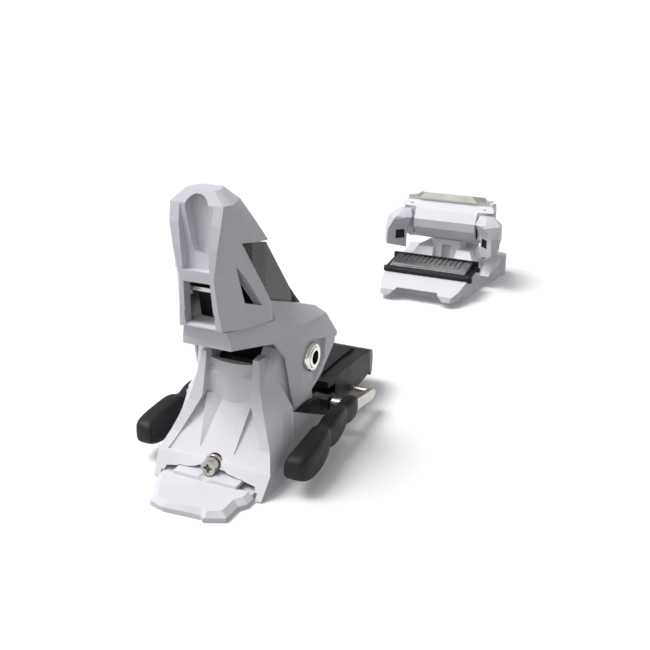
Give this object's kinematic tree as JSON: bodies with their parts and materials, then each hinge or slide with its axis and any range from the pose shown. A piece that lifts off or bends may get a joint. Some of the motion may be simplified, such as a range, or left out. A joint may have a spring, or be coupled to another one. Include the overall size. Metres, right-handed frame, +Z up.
{
  "type": "alpine ski binding",
  "caption": "Step-in ski binding: toe unit with wings and sliding gliding plate, heel unit with lever, jaw, length adjustment and ski brake.",
  "frame": {"origin": "on the ski's top surface, on the centre line, half way between the heel track's tail and the toe base's nose", "axes": "+Y along the ski towards its tip, +X to the skier's right, +Z up from the ski"},
  "size_m": [0.091, 0.41, 0.1354],
  "materials": {
    "white_plastic": "satin moulded",
    "white_shell": "satin painted",
    "black_plastic": "fine texture",
    "dark_gloss": "gloss",
    "pad_plastic": "fine texture",
    "steel": "zinc plated",
    "bright_steel": "polished",
    "spring_steel": "oiled",
    "glide_steel": "ribbed",
    "brass": "machined",
    "clear_window": "clear"
  },
  "bodies": {
    "base": {"heel_track": "white_plastic", "toe_base": "white_plastic", "toe_housing": "white_shell", "toe_wing_pins": "steel", "toe_top_plate": "bright_steel", "setting_window": "clear_window", "toe_spring": "spring_steel"},
    "heel_carriage": {"heel_carriage": "white_plastic", "screw_retainer": "steel", "brake_base": "black_plastic", "brake_axle": "steel", "brake_spring": "spring_steel", "release_spring": "spring_steel"},
    "length_screw": {"length_screw": "steel"},
    "heel_jaw": {"heel_jaw": "white_shell", "heel_cup": "dark_gloss", "pivot_bolts": "bright_steel", "pivot_rings": "bright_steel", "release_cam": "black_plastic", "lever_pin": "steel", "lever_stop": "black_plastic"},
    "heel_lever": {"heel_lever": "white_shell", "lever_crossbar": "steel"},
    "cam_follower": {"cam_follower": "black_plastic"},
    "heel_din_screw": {"heel_din_screw": "steel"},
    "heel_din_nut": {"heel_din_nut": "brass"},
    "brake": {"brake_pedal": "black_plastic", "brake_arms": "steel", "brake_pads": "pad_plastic"},
    "left_wing": {"left_wing": "white_shell", "left_wing_pad": "black_plastic"},
    "right_wing": {"right_wing": "white_shell", "right_wing_pad": "black_plastic"},
    "left_piston": {"left_piston": "black_plastic"},
    "right_piston": {"right_piston": "black_plastic"},
    "toe_din_screw": {"toe_din_screw": "steel"},
    "toe_din_nut": {"toe_din_nut": "brass"},
    "afd_carrier": {"afd_carrier": "white_plastic", "afd_frame": "black_plastic"},
    "afd_plate": {"afd_plate": "glide_steel"},
    "afd_screw": {"afd_screw": "steel"}
  },
  "joints": [
    {"name": "heel_length_slide", "type": "slide", "parent": "base", "child": "heel_carriage", "axis": [0, 1, 0], "range_m": [-0.008, 0.008]},
    {"name": "length_screw_turn", "type": "hinge", "parent": "heel_carriage", "child": "length_screw", "pos_m": [0, -0.165, 0.0096], "axis": [0, 1, 0], "range_deg": [-725, 725]},
    {"name": "jaw_pivot", "type": "hinge", "parent": "heel_carriage", "child": "heel_jaw", "pos_m": [0, -0.133, 0.0515], "axis": [1, 0, 0], "range_deg": [0, 30], "stiffness_Nm_per_rad": 6, "springref_deg": -8.59},
    {"name": "lever_pivot", "type": "hinge", "parent": "heel_jaw", "child": "heel_lever", "pos_m": [0, -0.172, 0.0726], "axis": [1, 0, 0], "range_deg": [0, 12], "stiffness_Nm_per_rad": 0.6, "springref_deg": -14.32},
    {"name": "follower_slide", "type": "slide", "parent": "heel_carriage", "child": "cam_follower", "axis": [0, 0, -1], "range_m": [0, 0.0062], "deforming": ["release_spring"]},
    {"name": "heel_din_turn", "type": "hinge", "parent": "cam_follower", "child": "heel_din_screw", "pos_m": [0, -0.1457, 0.04], "axis": [0, 0, 1], "range_deg": [-361, 361]},
    {"name": "heel_din_nut_slide", "type": "slide", "parent": "cam_follower", "child": "heel_din_nut", "axis": [0, 0, 1], "range_m": [-0.001, 0.001], "deforming": ["release_spring"]},
    {"name": "brake_pivot", "type": "hinge", "parent": "heel_carriage", "child": "brake", "pos_m": [0, -0.105, 0.015], "axis": [1, 0, 0], "range_deg": [0, 60], "stiffness_Nm_per_rad": 0.35, "springref_deg": 91.67},
    {"name": "left_wing_pivot", "type": "hinge", "parent": "base", "child": "left_wing", "pos_m": [-0.028, 0.1612, 0.039], "axis": [0, 0, -1], "range_deg": [0, 25]},
    {"name": "right_wing_pivot", "type": "hinge", "parent": "base", "child": "right_wing", "pos_m": [0.028, 0.1612, 0.039], "axis": [0, 0, 1], "range_deg": [0, 25]},
    {"name": "left_piston_slide", "type": "slide", "parent": "base", "child": "left_piston", "axis": [1, 0, 0], "range_m": [0, 0.00375], "stiffness_N_per_m": 20000, "springref_m": -0.0009, "deforming": ["toe_spring"]},
    {"name": "right_piston_slide", "type": "slide", "parent": "base", "child": "right_piston", "axis": [-1, 0, 0], "range_m": [0, 0.00375], "stiffness_N_per_m": 20000, "springref_m": -0.0009, "deforming": ["toe_spring"]},
    {"name": "toe_din_turn", "type": "hinge", "parent": "right_piston", "child": "toe_din_screw", "pos_m": [0.02, 0.1761, 0.044], "axis": [1, 0, 0], "range_deg": [-760, 760]},
    {"name": "toe_din_nut_slide", "type": "slide", "parent": "right_piston", "child": "toe_din_nut", "axis": [1, 0, 0], "range_m": [-0.0031, 0.0031], "deforming": ["toe_spring"]},
    {"name": "afd_height", "type": "slide", "parent": "base", "child": "afd_carrier", "axis": [0, 0, 1], "range_m": [-0.0004, 0.004]},
    {"name": "afd_screw_turn", "type": "hinge", "parent": "afd_carrier", "child": "afd_screw", "pos_m": [0, 0.131, 0.01], "axis": [0, 0, 1], "range_deg": [-182, 1805]},
    {"name": "afd_slide", "type": "slide", "parent": "afd_carrier", "child": "afd_plate", "axis": [1, 0, 0], "range_m": [-0.006, 0.006], "stiffness_N_per_m": 300}
  ],
  "couplings": [
    {"joint": "length_screw_turn", "follows": "heel_length_slide", "rad_per_m": 1570.8},
    {"joint": "follower_slide", "follows": "jaw_pivot", "m_per_rad": 0.0116},
    {"joint": "heel_din_turn", "follows": "heel_din_nut_slide", "rad_per_m": -6283.2},
    {"joint": "left_wing_pivot", "follows": "left_piston_slide", "rad_per_m": 116.2},
    {"joint": "right_wing_pivot", "follows": "right_piston_slide", "rad_per_m": 116.2},
    {"joint": "toe_din_turn", "follows": "toe_din_nut_slide", "rad_per_m": 4188.8},
    {"joint": "afd_screw_turn", "follows": "afd_height", "rad_per_m": 7854}
  ]
}
